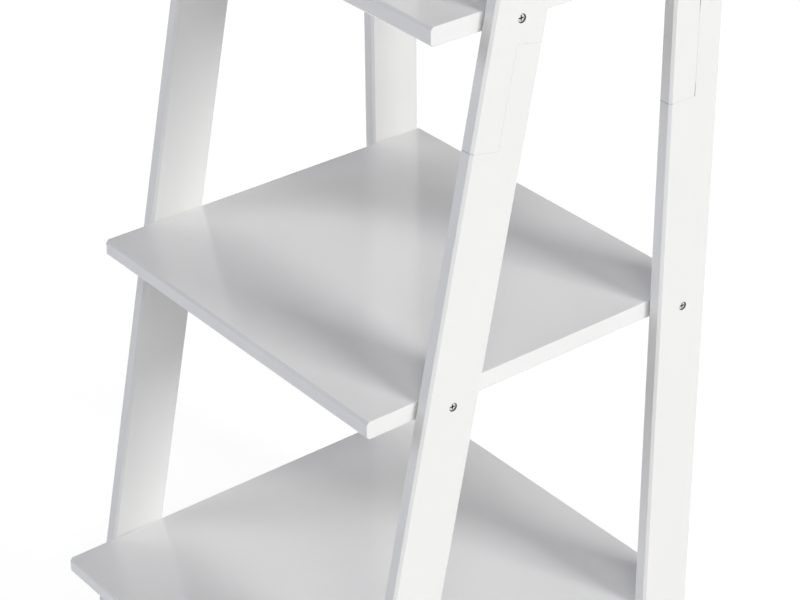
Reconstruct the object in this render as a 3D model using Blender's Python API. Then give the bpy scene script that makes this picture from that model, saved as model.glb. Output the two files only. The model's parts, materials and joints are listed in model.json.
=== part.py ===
"""Ladder bookcase in white painted board.

Shelves stand between two A-shaped side frames. Each frame has an upright rear post and a front post
that leans back until its rear edge meets the rear post at the top. Every post is two halves joined in a
half lap, which two screws and a dowel close from the post's rear edge. One countersunk screw through each
post holds each shelf.

Metres, +Z up, front towards -Y. The origin is on the floor, under the middle of the bookcase.
"""

import math

import bmesh
import bpy
from mathutils import Matrix, Vector

# Shelves, named from the floor up
SHELF_NAMES = ("bottom_shelf", "second_shelf", "third_shelf", "fourth_shelf", "top_shelf")
SHELF_WIDTH = 0.418
SHELF_THICKNESS = 0.018
SHELF_PITCH = 0.350
BOTTOM_SHELF_HEIGHT = 0.150
BOTTOM_SHELF_DEPTH = 0.462
SHELF_OVERHANG = 0.054
SHELF_FRONT_CHAMFER = 0.0028
SHELF_ARRIS = 0.0006

# Posts
POST_WIDTH = 0.060
POST_THICKNESS = 0.016
POST_EDGE_CHAMFER = 0.0028
SAW_CUT_ARRIS = 0.0005

# Half laps, measured down from the underside of the shelf above them
SHELF_ABOVE_LAPS = "third_shelf"
LAP_LENGTH = 0.095
FRONT_LAP_DROP = 0.013
REAR_LAP_DROP = 0.0285

# Screws with countersunk heads and a cross recess
HEAD_RADIUS = 0.004
HEAD_RIM = 0.0004
HEAD_DEPTH = 0.0026
HEAD_SINK = 0.0003
SHANK_RADIUS = 0.002
TIP_LENGTH = 0.006
TIP_RADIUS = 0.0004
RECESS_ARMS = 4
RECESS_REACH = 0.0023
RECESS_SLOT = 0.0009
RECESS_DEPTH = 0.0018
RECESS_TAPER = 0.45
SHELF_SCREW_BITE = 0.029
LAP_SCREW_COVER = 0.010
LAP_SCREW_INSET = 0.018

# Dowels
DOWEL_RADIUS = 0.004
DOWEL_BITE = 0.018
DOWEL_CHAMFER = 0.001

# Clearance between pieces that touch, and how far a cutter stands clear of the face it enters
SEAT_GAP = 0.0003
CUTTER_MARGIN = 0.002

# Facets, and the angle past which a turned piece's rim stays sharp
ROUND_STEPS = 12
SHARP_RIM = math.radians(35)

# Finishes: base colour, roughness, metallic
WHITE_PAINT = ((0.80, 0.80, 0.80), 0.38, 0.0)
ZINC_PLATE = ((0.56, 0.57, 0.58), 0.30, 1.0)
BEECH = ((0.62, 0.43, 0.26), 0.60, 0.0)

# Heights and depths that follow from the sizes above
SHELF_TOPS = [BOTTOM_SHELF_HEIGHT + SHELF_PITCH * level for level in range(len(SHELF_NAMES))]
HEIGHT = SHELF_TOPS[-1]
LAP_CEILING = SHELF_TOPS[SHELF_NAMES.index(SHELF_ABOVE_LAPS)] - SHELF_THICKNESS
BACK = BOTTOM_SHELF_DEPTH / 2
REAR_POST_FRONT = BACK - POST_WIDTH
POST_INNER_FACE = SHELF_WIDTH / 2 + SEAT_GAP
POST_OUTER_FACE = POST_INNER_FACE + POST_THICKNESS
SIDES = {"left": -1, "right": 1}


def front_post_lean():
    """The lean at which the front post's rear edge meets the rear post at the height of the top shelf."""
    rise = SHELF_TOPS[-1] - SHELF_TOPS[0]
    run = REAR_POST_FRONT - SEAT_GAP - (SHELF_OVERHANG - BACK)
    return math.acos(POST_WIDTH / math.hypot(rise, run)) - math.atan2(rise, run)


LEAN = front_post_lean()


def front_post_edge(height):
    """How far back the leaning post's front edge lies at a height."""
    return SHELF_OVERHANG - BACK + (height - SHELF_TOPS[0]) * math.tan(LEAN)


def clear_scene():
    for obj in list(bpy.data.objects):
        bpy.data.objects.remove(obj, do_unlink=True)


def finish(name, look):
    """A Principled material of one colour, roughness and metallic value."""
    colour, roughness, metallic = look
    material = bpy.data.materials.new(name)
    material.use_nodes = True
    shader = material.node_tree.nodes["Principled BSDF"]
    shader.inputs["Base Color"].default_value = (*colour, 1.0)
    shader.inputs["Roughness"].default_value = roughness
    shader.inputs["Metallic"].default_value = metallic
    return material


def group(name, parent=None):
    """An empty that gathers the pieces of one sub-assembly."""
    empty = bpy.data.objects.new(name, None)
    bpy.context.collection.objects.link(empty)
    empty.parent = parent
    return empty


def place(name, mesh, matrix, parent, material):
    """Puts a piece in the scene under its own name."""
    obj = bpy.data.objects.new(name, mesh)
    bpy.context.collection.objects.link(obj)
    obj.parent = parent
    obj.matrix_local = matrix
    if not mesh.materials:
        mesh.materials.append(material)
    return obj


def mesh_of(name, form):
    """Closes a bmesh into a mesh whose faces point out."""
    bmesh.ops.recalc_face_normals(form, faces=form.faces)
    mesh = bpy.data.meshes.new(name)
    form.to_mesh(mesh)
    form.free()
    return mesh


def board_mesh(name, outline, length, side_arrises, corner_arrises):
    """A board whose outline lies in its YZ plane and whose length runs along X.

    side_arrises holds, for each side of the outline, the width of its arrises at both ends of the length,
    and corner_arrises the width of the long arris at each corner. They become bevel weights of the widest.
    """
    form = bmesh.new()
    weight = form.edges.layers.float.new("bevel_weight_edge")
    ends = [[form.verts.new((x, y, z)) for y, z in outline] for x in (-length / 2, length / 2)]
    for end in ends:
        form.faces.new(end)
    widest = max(*side_arrises, *corner_arrises)
    for at, (side_arris, corner_arris) in enumerate(zip(side_arrises, corner_arrises)):
        after = (at + 1) % len(outline)
        form.faces.new((ends[0][at], ends[0][after], ends[1][after], ends[1][at]))
        for end in ends:
            form.edges.get((end[at], end[after]))[weight] = side_arris / widest
        form.edges.get((ends[0][at], ends[1][at]))[weight] = corner_arris / widest
    return mesh_of(name, form)


def chamfer_arrises(board, widest):
    """Cuts a flat chamfer along a board's arrises, as wide as their bevel weights say."""
    bevel = board.modifiers.new("chamfered arrises", "BEVEL")
    bevel.limit_method = "WEIGHT"
    bevel.width = widest
    bevel.segments = 1


def turned_mesh(name, profile):
    """A solid turned about Z from (radius, height) points that run down its outer side to the axis."""
    form = bmesh.new()
    points = [form.verts.new((radius, 0, height)) for radius, height in profile]
    edges = [form.edges.new(pair) for pair in zip(points, points[1:])]
    bmesh.ops.spin(
        form,
        geom=points + edges,
        cent=(0, 0, 0),
        axis=(0, 0, 1),
        angle=math.tau,
        steps=ROUND_STEPS,
        use_merge=True,
    )
    bmesh.ops.remove_doubles(form, verts=form.verts, dist=SEAT_GAP / ROUND_STEPS)
    return mesh_of(name, form)


def screw_profile(length):
    """Head, shank and point of a screw whose head lies at height 0 and whose point is at -length."""
    return (
        (0, 0),
        (HEAD_RADIUS, 0),
        (HEAD_RADIUS, -HEAD_RIM),
        (SHANK_RADIUS, -HEAD_DEPTH),
        (SHANK_RADIUS, TIP_LENGTH - length),
        (TIP_RADIUS, -length),
        (0, -length),
    )


def screw_bore_profile(length):
    """The countersunk bore that a screw sits in, clear of it all round and open above its head."""
    return (
        (0, CUTTER_MARGIN),
        (HEAD_RADIUS + SEAT_GAP, CUTTER_MARGIN),
        (HEAD_RADIUS + SEAT_GAP, -HEAD_RIM),
        (SHANK_RADIUS + SEAT_GAP, -HEAD_DEPTH),
        (SHANK_RADIUS + SEAT_GAP, -length - SEAT_GAP),
        (0, -length - SEAT_GAP),
    )


def recess_mesh(name):
    """The tapered cross that a driver leaves in a screw's head, as a cutter."""
    reach, slot = RECESS_REACH, RECESS_SLOT / 2
    arm = ((reach, -slot), (reach, slot), (slot, slot))
    form = bmesh.new()
    rings = []
    for height, size in ((CUTTER_MARGIN, 1.0), (0, 1.0), (-RECESS_DEPTH, RECESS_TAPER)):
        ring = []
        for turn in range(RECESS_ARMS):
            quarter_turn = Matrix.Rotation(turn * math.tau / RECESS_ARMS, 3, "Z")
            for x, y in arm:
                ring.append(form.verts.new(quarter_turn @ Vector((x * size, y * size, height))))
        rings.append(ring)
    form.faces.new(rings[0])
    form.faces.new(rings[-1])
    for upper, lower in zip(rings, rings[1:]):
        for at in range(len(upper)):
            form.faces.new((upper[at - 1], upper[at], lower[at], lower[at - 1]))
    return mesh_of(name, form)


def screw_mesh(name, length):
    """A turned screw with the cross recess cut into its head."""
    blank = bpy.data.objects.new(name, turned_mesh(name + "_blank", screw_profile(length)))
    recess = bpy.data.objects.new(name + "_recess", recess_mesh(name + "_recess"))
    for obj in (blank, recess):
        bpy.context.collection.objects.link(obj)
    cut = blank.modifiers.new("cross recess", "BOOLEAN")
    cut.object = recess
    graph = bpy.context.evaluated_depsgraph_get()
    mesh = bpy.data.meshes.new_from_object(blank.evaluated_get(graph))
    mesh.name = name
    for obj in (blank, recess):
        bpy.data.objects.remove(obj, do_unlink=True)
    return mesh


def dowel_profile():
    """A dowel centred on its own middle, with chamfered ends."""
    half = DOWEL_BITE
    shoulder = half - DOWEL_CHAMFER
    return (
        (0, half),
        (DOWEL_RADIUS - DOWEL_CHAMFER, half),
        (DOWEL_RADIUS, shoulder),
        (DOWEL_RADIUS, -shoulder),
        (DOWEL_RADIUS - DOWEL_CHAMFER, -half),
        (0, -half),
    )


def dowel_bore_profile():
    """The bore that a dowel sits in, clear of it all round."""
    radius = DOWEL_RADIUS + SEAT_GAP
    half = DOWEL_BITE + SEAT_GAP
    return ((0, half), (radius, half), (radius, -half), (0, -half))


def aimed(position, outward):
    """A placement whose Z axis points outward, as a screw's head does."""
    turn = Vector(outward).to_track_quat("Z", "Y").to_matrix().to_4x4()
    return Matrix.Translation(position) @ turn


class Post:
    """One post: where it stands, how it leans, and its half lap, in its own plane.

    In that plane across runs over the post's width from its front edge, and along runs up its front edge
    from the floor.
    """

    def __init__(self, side, kind):
        leans = kind == "front"
        self.name = f"{side}_{kind}_post"
        self.lap_name = f"{side}_{kind}_lap"
        self.sign = SIDES[side]
        self.lean = LEAN if leans else 0.0
        self.foot = front_post_edge(0.0) if leans else REAR_POST_FRONT
        drop = FRONT_LAP_DROP if leans else REAR_LAP_DROP
        self.lap_top = self.along(POST_WIDTH / 2, LAP_CEILING - drop)
        self.lap_foot = self.lap_top - LAP_LENGTH

    def along(self, across, height):
        """How far up the post a height is reached, at a place across its width."""
        return (height + across * math.sin(self.lean)) / math.cos(self.lean)

    def placement(self):
        middle = self.sign * (POST_INNER_FACE + POST_THICKNESS / 2)
        return Matrix.Translation((middle, self.foot, 0)) @ Matrix.Rotation(-self.lean, 4, "X")

    def half_outlines(self):
        """The outline of the lower half, tongue at the rear, and of the upper half, tongue in front."""
        middle, gap = POST_WIDTH / 2, SEAT_GAP / 2
        lower = (
            (0, self.lap_foot - gap),
            (0, self.along(0, 0)),
            (POST_WIDTH, self.along(POST_WIDTH, 0)),
            (POST_WIDTH, self.lap_top - gap),
            (middle + gap, self.lap_top - gap),
            (middle + gap, self.lap_foot - gap),
        )
        upper = (
            (POST_WIDTH, self.lap_top + gap),
            (POST_WIDTH, self.along(POST_WIDTH, HEIGHT)),
            (0, self.along(0, HEIGHT)),
            (0, self.lap_foot + gap),
            (middle - gap, self.lap_foot + gap),
            (middle - gap, self.lap_top + gap),
        )
        return {"lower": lower, "upper": upper}

    def half_holding(self, height):
        """The half that a screw at a height passes through."""
        return "lower" if height < LAP_CEILING else "upper"

    def middle_at(self, height):
        """Where the middle of the post's width lies, front to back, at a height."""
        return self.foot + height * math.tan(self.lean) + POST_WIDTH / 2 / math.cos(self.lean)


def build_halves(post, parent, paint):
    """The two halves of a post, with chamfers along it and fine arrises at the saw cuts."""
    cut, edge = SAW_CUT_ARRIS, POST_EDGE_CHAMFER
    halves = {}
    for half, outline in post.half_outlines().items():
        side_arrises = (edge, cut, edge, cut, cut, cut)
        corner_arrises = (cut, cut, cut, cut, cut, 0)
        name = f"{post.name}_{half}"
        mesh = board_mesh(name, outline, POST_THICKNESS, side_arrises, corner_arrises)
        halves[half] = place(name, mesh, post.placement(), parent, paint)
        chamfer_arrises(halves[half], edge)
    return halves


def build_shelf(level, parent, paint):
    """A shelf board with a chamfered front edge, flush at the back with the rear posts."""
    name = SHELF_NAMES[level]
    front = front_post_edge(SHELF_TOPS[level]) - SHELF_OVERHANG
    depth = BACK - front
    outline = ((0, -SHELF_THICKNESS), (depth, -SHELF_THICKNESS), (depth, 0), (0, 0))
    arris, chamfer = SHELF_ARRIS, SHELF_FRONT_CHAMFER
    mesh = board_mesh(name, outline, SHELF_WIDTH, (arris,) * 4, (chamfer, arris, arris, chamfer))
    shelf = place(name, mesh, Matrix.Translation((0, front, SHELF_TOPS[level])), parent, paint)
    chamfer_arrises(shelf, chamfer)
    return shelf


def bore(piece, bores, parent):
    """Cuts all of a piece's bores with one hidden cutter."""
    form = bmesh.new()
    for mesh, matrix in bores:
        first = len(form.verts)
        form.from_mesh(mesh)
        form.verts.ensure_lookup_table()
        bmesh.ops.transform(form, matrix=matrix, verts=form.verts[first:])
    mesh = bpy.data.meshes.new(piece.name + "_bores")
    form.to_mesh(mesh)
    form.free()
    cutter = bpy.data.objects.new(piece.name + "_bores", mesh)
    bpy.context.collection.objects.link(cutter)
    cutter.parent = parent
    cutter.hide_render = True
    cutter.display_type = "WIRE"
    cut = piece.modifiers.new("bores", "BOOLEAN")
    cut.object = cutter


def shade_round(mesh):
    """Shades a turned piece smooth, apart from its sharp rims."""
    mesh.shade_smooth()
    mesh.set_sharp_from_angle(angle=SHARP_RIM)


def main():
    clear_scene()
    bookcase = group("bookcase")
    cutters = group("cutters", bookcase)
    shelf_paint = finish("white_shelf_paint", WHITE_PAINT)
    post_paint = finish("white_post_paint", WHITE_PAINT)
    zinc = finish("zinc_plated_steel", ZINC_PLATE)
    beech = finish("beech_dowel", BEECH)

    shelf_screw_length = POST_THICKNESS + SHELF_SCREW_BITE
    lap_screw_length = POST_WIDTH - LAP_SCREW_COVER
    shelf_screw = screw_mesh("shelf_screw", shelf_screw_length)
    lap_screw = screw_mesh("lap_screw", lap_screw_length)
    dowel = turned_mesh("lap_dowel", dowel_profile())
    shelf_screw_bore = turned_mesh("shelf_screw_bore", screw_bore_profile(shelf_screw_length))
    lap_screw_bore = turned_mesh("lap_screw_bore", screw_bore_profile(lap_screw_length))
    dowel_bore = turned_mesh("lap_dowel_bore", dowel_bore_profile())
    for mesh in (shelf_screw, lap_screw, dowel):
        shade_round(mesh)

    shelves = [build_shelf(level, bookcase, shelf_paint) for level in range(len(SHELF_NAMES))]
    bores = {shelf: [] for shelf in shelves}
    for side in SIDES:
        frame = group(f"{side}_frame", bookcase)
        for kind in ("front", "rear"):
            post = Post(side, kind)
            halves = build_halves(post, frame, post_paint)
            bores.update({half: [] for half in halves.values()})

            # One screw into each shelf, through the middle of the post and of the shelf's thickness
            for level, shelf in enumerate(shelves):
                height = SHELF_TOPS[level] - SHELF_THICKNESS / 2
                head = (post.sign * (POST_OUTER_FACE - HEAD_SINK), post.middle_at(height), height)
                matrix = aimed(head, (post.sign, 0, 0))
                place(f"{SHELF_NAMES[level]}_screw_{side}_{kind}", shelf_screw, matrix, frame, zinc)
                for piece in (shelf, halves[post.half_holding(height)]):
                    bores[piece].append((shelf_screw_bore, matrix))

            # Two screws from the rear edge and a dowel between them close the lap
            rearward = (0, 1, 0)
            lap_middle = (post.lap_foot + post.lap_top) / 2
            for end, along in (
                ("lower", post.lap_foot + LAP_SCREW_INSET),
                ("upper", post.lap_top - LAP_SCREW_INSET),
            ):
                matrix = post.placement() @ aimed((0, POST_WIDTH - HEAD_SINK, along), rearward)
                place(f"{post.lap_name}_screw_{end}", lap_screw, matrix, frame, zinc)
                for piece in halves.values():
                    bores[piece].append((lap_screw_bore, matrix))
            matrix = post.placement() @ aimed((0, POST_WIDTH / 2, lap_middle), rearward)
            place(f"{post.lap_name}_dowel", dowel, matrix, frame, beech)
            for piece in halves.values():
                bores[piece].append((dowel_bore, matrix))

    for piece, piece_bores in bores.items():
        bore(piece, piece_bores, cutters)


main()
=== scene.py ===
"""Finish and stage of a white ladder bookcase, laid out as a Blender add-on and run as a script.

Every board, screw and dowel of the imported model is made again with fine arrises, threads and flutes,
finished in procedural paint, zinc and beech, and set on a pale floor in soft studio light.

Metres, +Z up, front towards -Y.
"""

import json
import math
from collections import namedtuple

import bmesh
import bpy
from bpy.props import FloatProperty, FloatVectorProperty, IntProperty, PointerProperty
from mathutils import Matrix, Vector


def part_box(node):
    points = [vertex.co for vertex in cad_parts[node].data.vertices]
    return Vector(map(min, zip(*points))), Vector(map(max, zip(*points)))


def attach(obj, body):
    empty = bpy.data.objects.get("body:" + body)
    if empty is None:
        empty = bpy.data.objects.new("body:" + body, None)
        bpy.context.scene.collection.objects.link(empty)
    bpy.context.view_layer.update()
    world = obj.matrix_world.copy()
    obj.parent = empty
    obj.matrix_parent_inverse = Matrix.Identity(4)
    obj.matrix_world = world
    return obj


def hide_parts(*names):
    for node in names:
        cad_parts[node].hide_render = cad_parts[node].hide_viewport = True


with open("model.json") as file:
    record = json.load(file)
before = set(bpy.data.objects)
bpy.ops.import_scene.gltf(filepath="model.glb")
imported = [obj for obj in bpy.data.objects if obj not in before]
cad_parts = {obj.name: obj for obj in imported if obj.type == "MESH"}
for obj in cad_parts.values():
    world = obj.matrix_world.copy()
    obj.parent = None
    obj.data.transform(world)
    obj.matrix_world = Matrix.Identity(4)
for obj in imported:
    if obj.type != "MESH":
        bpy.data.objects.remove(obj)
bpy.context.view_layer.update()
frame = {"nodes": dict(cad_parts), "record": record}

bl_info = {
    "name": "Ladder bookcase finish",
    "version": (1, 0, 0),
    "blender": (4, 5, 0),
    "location": "View3D > Sidebar > Bookcase",
    "description": "Makes the painted boards, fixings and stage of a ladder bookcase",
    "category": "Object",
}

BODY = "root"
SHELF_PAINT, POST_PAINT, ZINC, BEECH = "shelf_paint", "post_paint", "zinc_screw", "beech_dowel"
SIDES = {"left": -1, "right": 1}


def nodes_in_slot(slot):
    """The CAD nodes that take their finish from a material slot, in the record's order."""
    return [part["node"] for part in frame["record"]["subparts"] if part["material_slot"] == slot]


# Nodes and sizes read from the frame
SHELVES = nodes_in_slot(SHELF_PAINT)
SHELF_SCREWS = [node for node in nodes_in_slot(ZINC) if "_shelf_screw_" in node]
LAP_SCREWS = [node for node in nodes_in_slot(ZINC) if "_lap_screw_" in node]
LAP_DOWELS = nodes_in_slot(BEECH)
FIXINGS = (*SHELF_SCREWS, *LAP_SCREWS, *LAP_DOWELS)
POST_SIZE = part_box("left_rear_post_lower")[1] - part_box("left_rear_post_lower")[0]
POST_THICKNESS, POST_WIDTH = POST_SIZE.x, POST_SIZE.y
SEAT_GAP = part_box("right_rear_post_lower")[0].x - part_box(SHELVES[0])[1].x


def front_lean():
    """The front posts' lean, which the front edges of the shelves follow."""
    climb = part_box(SHELVES[-1])[0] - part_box(SHELVES[0])[0]
    return math.atan2(climb.y, climb.z)


LEANS = {"front": front_lean(), "rear": 0.0}

# Names shared by the meshes and the materials
OWN_PLACE = "own_place"
ARRIS_MASK = "arris"
# Faces of bores and laps left unpainted, which take a dark colour, partly unpainted board and partly
# painted shade
BARE_AND_SHADE_MASK = "bare"
RECESS_MASK = "recess"

# How worked arrises and round forms are cut; a profile of 0.25 is a flat chamfer and one of 0.5 a round
CHAMFER_PROFILE, CHAMFER_STEPS = 0.25, 8
ARRIS_PROFILE, ARRIS_STEPS = 0.5, 3
SQUARE_EDGE = math.radians(60)
TURNED_STEPS = 36
SHARP_ANGLE = math.radians(38)
MERGE_DISTANCE = 1e-6

# How much less than 1 the largest part of a chamfer's normal is
CHAMFER_TURN = 1 - math.cos(math.pi / 4)


# Settings


class BoardSettings(bpy.types.PropertyGroup):
    """Worked arrises of the shelves and posts, and the seams of the laps."""

    shelf_front: FloatProperty(
        name="Shelf front",
        description="Width of the chamfers along a shelf's front",
        default=0.0028,
        min=0.0005,
        max=0.008,
        subtype="DISTANCE",
        unit="LENGTH",
    )
    shelf_arris: FloatProperty(
        name="Shelf arris",
        description="Width of a shelf's other arrises, as a sanding block leaves them",
        default=0.0006,
        min=0.0002,
        max=0.003,
        subtype="DISTANCE",
        unit="LENGTH",
    )
    post_edge: FloatProperty(
        name="Post edge",
        description="Width of the chamfers along a post",
        default=0.0028,
        min=0.0005,
        max=0.007,
        subtype="DISTANCE",
        unit="LENGTH",
    )
    post_arris: FloatProperty(
        name="Post arris",
        description="Width of a post's finer arrises, at its saw cuts and along the seams of its lap",
        default=0.00005,
        min=0.00002,
        max=0.001,
        subtype="DISTANCE",
        unit="LENGTH",
    )
    lap_seam: FloatProperty(
        name="Lap seam",
        description="Gap between the two halves of a post, where they are drawn tight",
        default=0.00002,
        min=0.00001,
        max=0.0003,
        subtype="DISTANCE",
        unit="LENGTH",
    )
    open_seam: FloatProperty(
        name="Open seam",
        description="Gap between the two halves of a post, where it opens at an edge",
        default=0.0003,
        min=0.0001,
        max=0.001,
        subtype="DISTANCE",
        unit="LENGTH",
    )
    seam_opening: FloatProperty(
        name="Seam opening",
        description="How far in from a post's edge its seam closes",
        default=0.006,
        min=0.001,
        max=0.025,
        subtype="DISTANCE",
        unit="LENGTH",
    )
    tongue_seam: FloatProperty(
        name="Tongue seam",
        description="Gap between the tongues of a rear post",
        default=0.00009,
        min=0.00001,
        max=0.0005,
        subtype="DISTANCE",
        unit="LENGTH",
    )
    tongue_relief: FloatProperty(
        name="Tongue relief",
        description="How much narrower the end of a rear post's tongue is",
        default=0.0006,
        min=0.0,
        max=0.002,
        subtype="DISTANCE",
        unit="LENGTH",
    )
    relief_length: FloatProperty(
        name="Relief length",
        description="Length over which a tongue narrows to its end",
        default=0.016,
        min=0.002,
        max=0.05,
        subtype="DISTANCE",
        unit="LENGTH",
    )


class FixingSettings(bpy.types.PropertyGroup):
    """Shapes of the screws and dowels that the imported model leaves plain."""

    thread_radius: FloatProperty(
        name="Thread",
        description="Radius over the crest of a screw's thread",
        default=0.002,
        subtype="DISTANCE",
        unit="LENGTH",
    )
    core_radius: FloatProperty(
        name="Core",
        description="Radius of a screw between the turns of its thread",
        default=0.0013,
        subtype="DISTANCE",
        unit="LENGTH",
    )
    neck_radius: FloatProperty(
        name="Neck",
        description="Radius of the plain length under a screw's head",
        default=0.0016,
        subtype="DISTANCE",
        unit="LENGTH",
    )
    neck_length: FloatProperty(
        name="Neck length",
        description="Plain length under a screw's head, the head included",
        default=0.014,
        subtype="DISTANCE",
        unit="LENGTH",
    )
    thread_pitch: FloatProperty(
        name="Pitch",
        description="Distance between the turns of a screw's thread",
        default=0.0018,
        subtype="DISTANCE",
        unit="LENGTH",
    )
    recess_reach: FloatProperty(
        name="Recess",
        description="How far an arm of the cross recess reaches from the middle of a head",
        default=0.0027,
        subtype="DISTANCE",
        unit="LENGTH",
    )
    recess_slot: FloatProperty(
        name="Recess slot",
        description="Width of an arm of the cross recess",
        default=0.0013,
        subtype="DISTANCE",
        unit="LENGTH",
    )
    flutes: IntProperty(
        name="Flutes",
        description="Grooves along a dowel that let the glue spread",
        default=18,
        min=6,
        max=32,
    )
    flute_depth: FloatProperty(
        name="Flute depth",
        description="Depth of a groove along a dowel",
        default=0.0003,
        subtype="DISTANCE",
        unit="LENGTH",
    )


class FinishSettings(bpy.types.PropertyGroup):
    """Colours and gloss of the paint, the zinc and the beech."""

    shelf_colour: FloatVectorProperty(
        name="Shelf paint",
        description="Colour of the paint on the shelves",
        default=(0.885, 0.88, 0.88),
        size=3,
        min=0.0,
        max=1.0,
        subtype="COLOR",
    )
    post_colour: FloatVectorProperty(
        name="Post paint",
        description="Colour of the paint on the posts",
        default=(0.87, 0.87, 0.865),
        size=3,
        min=0.0,
        max=1.0,
        subtype="COLOR",
    )
    # Unpainted board in bores and laps, darkened far below raw board as painted shade in those narrow gaps
    bare_board: FloatVectorProperty(
        name="Bare board",
        description="Colour of the unpainted board in bores and laps",
        default=(0.11, 0.10, 0.09),
        size=3,
        min=0.0,
        max=1.0,
        subtype="COLOR",
    )
    thin_paint: FloatVectorProperty(
        name="Thin paint",
        description="Colour where paint is drawn thin over an arris",
        default=(0.80, 0.79, 0.785),
        size=3,
        min=0.0,
        max=1.0,
        subtype="COLOR",
    )
    shelf_roughness: FloatProperty(
        name="Shelf gloss",
        description="Roughness of the satin paint on the shelves",
        default=0.12,
        min=0.05,
        max=1.0,
        subtype="FACTOR",
    )
    post_roughness: FloatProperty(
        name="Post gloss",
        description="Roughness of the satin paint on the posts",
        default=0.38,
        min=0.05,
        max=1.0,
        subtype="FACTOR",
    )
    zinc_colour: FloatVectorProperty(
        name="Zinc",
        description="Colour of the plated screws",
        default=(0.76, 0.77, 0.78),
        size=3,
        min=0.0,
        max=1.0,
        subtype="COLOR",
    )
    beech_colour: FloatVectorProperty(
        name="Beech",
        description="Colour of the bare dowels",
        default=(0.60, 0.42, 0.26),
        size=3,
        min=0.0,
        max=1.0,
        subtype="COLOR",
    )


class StageSettings(bpy.types.PropertyGroup):
    """Floor, surround, lamps and camera."""

    floor_colour: FloatVectorProperty(
        name="Floor",
        description="Colour of the floor",
        default=(0.85, 0.85, 0.85),
        size=3,
        min=0.0,
        max=1.0,
        subtype="COLOR",
    )
    wall_colour: FloatVectorProperty(
        name="Walls",
        description="Colour of the studio's walls, which light the bookcase from all sides",
        default=(0.15, 0.15, 0.152),
        size=3,
        min=0.0,
        max=1.0,
        subtype="COLOR",
    )
    ceiling_colour: FloatVectorProperty(
        name="Ceiling",
        description="Colour of the studio overhead",
        default=(0.02, 0.02, 0.02),
        size=3,
        min=0.0,
        max=1.0,
        subtype="COLOR",
    )
    key_power: FloatProperty(
        name="Key",
        description="Power of the lamp at the right",
        default=9800.0,
        min=0.0,
        subtype="POWER",
        unit="POWER",
    )
    fill_power: FloatProperty(
        name="Fill",
        description="Power of the cool lamp at the front left",
        default=3852.0,
        min=0.0,
        subtype="POWER",
        unit="POWER",
    )
    high_power: FloatProperty(
        name="High",
        description="Power of the lamp high at the front right",
        default=3416.0,
        min=0.0,
        subtype="POWER",
        unit="POWER",
    )
    left_power: FloatProperty(
        name="Left",
        description="Power of the lamp at the left",
        default=1184.0,
        min=0.0,
        subtype="POWER",
        unit="POWER",
    )
    back_power: FloatProperty(
        name="Back",
        description="Power of the low lamp behind",
        default=3752.0,
        min=0.0,
        subtype="POWER",
        unit="POWER",
    )
    lens: FloatProperty(
        name="Lens",
        description="Focal length of the camera, in millimetres",
        default=110.0,
        min=20.0,
        max=300.0,
        subtype="DISTANCE_CAMERA",
        unit="CAMERA",
    )


# Meshes, objects and cuts


def close_form(name, form):
    """Merges a bmesh's doubled points and closes it into a mesh whose faces point out."""
    bmesh.ops.remove_doubles(form, verts=form.verts, dist=MERGE_DISTANCE)
    bmesh.ops.recalc_face_normals(form, faces=form.faces)
    mesh = bpy.data.meshes.new(name)
    form.to_mesh(mesh)
    form.free()
    return mesh


def add_object(name, mesh, placement=Matrix.Identity(4)):
    """Links a mesh to the scene as an object."""
    made = bpy.data.objects.new(name, mesh)
    bpy.context.scene.collection.objects.link(made)
    made.matrix_world = placement
    return made


def cut_away(piece, cutter):
    """Cuts a closed cutter out of a piece."""
    cut = piece.modifiers.new("cut", "BOOLEAN")
    cut.operation = "DIFFERENCE"
    cut.solver = "EXACT"
    cut.object = cutter


def apply_modifiers(piece):
    """Replaces a piece's mesh with the one that its modifiers make, and removes what they cut with."""
    graph = bpy.context.evaluated_depsgraph_get()
    made = bpy.data.meshes.new_from_object(
        piece.evaluated_get(graph), preserve_all_data_layers=True, depsgraph=graph
    )
    rough = piece.data
    cutters = [modifier.object for modifier in piece.modifiers if modifier.type == "BOOLEAN"]
    piece.modifiers.clear()
    piece.data = made
    made.name = piece.name
    bpy.data.meshes.remove(rough)
    for cutter in cutters:
        bpy.data.meshes.remove(cutter.data)


# Turned and fluted fixings

# Heads, recesses, points and threads of the screws, mouths of the bores, ends and flutes of the dowels
HEAD_RIM = 0.0004
HEAD_DEPTH = 0.0026
HEAD_EDGE = 0.00012
HEAD_CLEARANCE = 0.0005
HEAD_SINK = 0.0007
BORE_MOUTH = 0.002
RECESS_DEPTH = 0.0018
RECESS_TAPER = 0.6
RECESS_ARMS = 4
RECESS_TOLERANCE = 0.01
TIP_LENGTH = 0.006
TIP_RADIUS = 0.0003
THREAD_ROWS = 4
RUNOUT_TURNS = 2
DOWEL_CHAMFER = 0.001
FLUTE_POINTS = 4


def seat_of(node, outward):
    """Where a turned CAD node sits: its placement, its radius and its length.

    The placement has its Z along outward and its origin at the node's outer end.
    """
    turn = Vector(outward).to_track_quat("Z", "Y").to_matrix()
    points = [turn.transposed() @ vertex.co for vertex in frame["nodes"][node].data.vertices]
    low = Vector([min(values) for values in zip(*points)])
    high = Vector([max(values) for values in zip(*points)])
    end = Vector(((low.x + high.x) / 2, (low.y + high.y) / 2, high.z))
    placement = Matrix.Translation(turn @ end) @ turn.to_4x4()
    return placement, (high.x - low.x) / 2, high.z - low.z


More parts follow.
